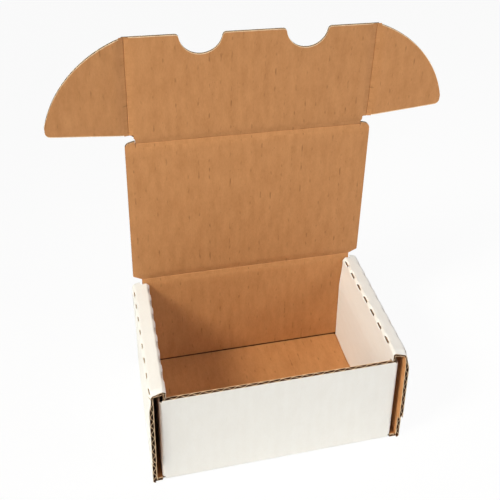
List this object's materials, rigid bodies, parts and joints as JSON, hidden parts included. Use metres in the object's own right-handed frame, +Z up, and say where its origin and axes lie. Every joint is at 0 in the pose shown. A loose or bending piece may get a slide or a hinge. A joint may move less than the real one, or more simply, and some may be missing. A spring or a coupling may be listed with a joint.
{
  "type": "card storage box",
  "caption": "Folding corrugated board box for trading cards, with roll-over side walls, a hinged lid and a tuck flap whose ears lock into the sides.",
  "frame": {"origin": "centre of the base, on the surface that the box stands on", "axes": "+X is the box's right side seen from the front, +Y points to the back wall that carries the lid, +Z is up"},
  "size_m": [0.2349, 0.0974, 0.2389],
  "materials": {
    "white_liner": "matte white paper",
    "kraft_liner": "matte kraft paper",
    "kraft_fluting": "matte kraft paper"
  },
  "bodies": {
    "box": {"back_left_dust_flap_fluting": "kraft_fluting", "back_left_dust_flap_kraft_liner": "kraft_liner", "back_left_dust_flap_white_liner": "white_liner", "back_right_dust_flap_fluting": "kraft_fluting", "back_right_dust_flap_kraft_liner": "kraft_liner", "back_right_dust_flap_white_liner": "white_liner", "back_wall_fluting": "kraft_fluting", "back_wall_kraft_liner": "kraft_liner", "back_wall_white_liner": "white_liner", "bottom_fluting": "kraft_fluting", "bottom_kraft_liner": "kraft_liner", "bottom_white_liner": "white_liner", "front_left_dust_flap_fluting": "kraft_fluting", "front_left_dust_flap_kraft_liner": "kraft_liner", "front_left_dust_flap_white_liner": "white_liner", "front_right_dust_flap_fluting": "kraft_fluting", "front_right_dust_flap_kraft_liner": "kraft_liner", "front_right_dust_flap_white_liner": "white_liner", "front_wall_fluting": "kraft_fluting", "front_wall_kraft_liner": "kraft_liner", "front_wall_white_liner": "white_liner", "left_inner_wall_fluting": "kraft_fluting", "left_inner_wall_kraft_liner": "kraft_liner", "left_inner_wall_white_liner": "white_liner", "left_outer_wall_fluting": "kraft_fluting", "left_outer_wall_kraft_liner": "kraft_liner", "left_outer_wall_white_liner": "white_liner", "left_roll_top_fluting": "kraft_fluting", "left_roll_top_kraft_liner": "kraft_liner", "left_roll_top_white_liner": "white_liner", "right_inner_wall_fluting": "kraft_fluting", "right_inner_wall_kraft_liner": "kraft_liner", "right_inner_wall_white_liner": "white_liner", "right_outer_wall_fluting": "kraft_fluting", "right_outer_wall_kraft_liner": "kraft_liner", "right_outer_wall_white_liner": "white_liner", "right_roll_top_fluting": "kraft_fluting", "right_roll_top_kraft_liner": "kraft_liner", "right_roll_top_white_liner": "white_liner"},
    "lid": {"lid_fluting": "kraft_fluting", "lid_kraft_liner": "kraft_liner", "lid_white_liner": "white_liner"},
    "tuck_flap": {"tuck_flap_fluting": "kraft_fluting", "tuck_flap_kraft_liner": "kraft_liner", "tuck_flap_white_liner": "white_liner"},
    "left_ear": {"left_ear_fluting": "kraft_fluting", "left_ear_kraft_liner": "kraft_liner", "left_ear_white_liner": "white_liner"},
    "right_ear": {"right_ear_fluting": "kraft_fluting", "right_ear_kraft_liner": "kraft_liner", "right_ear_white_liner": "white_liner"}
  },
  "joints": [
    {"name": "lid_hinge", "type": "hinge", "parent": "box", "child": "lid", "pos_m": [0, 0.0484, 0.07115], "axis": [1, 0, 0], "range_deg": [-97.7, 87.3]},
    {"name": "tuck_flap_crease", "type": "hinge", "parent": "lid", "child": "tuck_flap", "pos_m": [0, 0.04368, 0.17124], "axis": [1, 0, 0], "range_deg": [-17.5, 87.5]},
    {"name": "left_ear_crease", "type": "hinge", "parent": "tuck_flap", "child": "left_ear", "pos_m": [-0.07205, 0.04368, 0.17124], "axis": [0, -0.0906, 0.9959], "range_deg": [-16.2, 83.8]},
    {"name": "right_ear_crease", "type": "hinge", "parent": "tuck_flap", "child": "right_ear", "pos_m": [0.07205, 0.04368, 0.17124], "axis": [0, 0.0906, -0.9959], "range_deg": [-13.9, 86.1]}
  ]
}
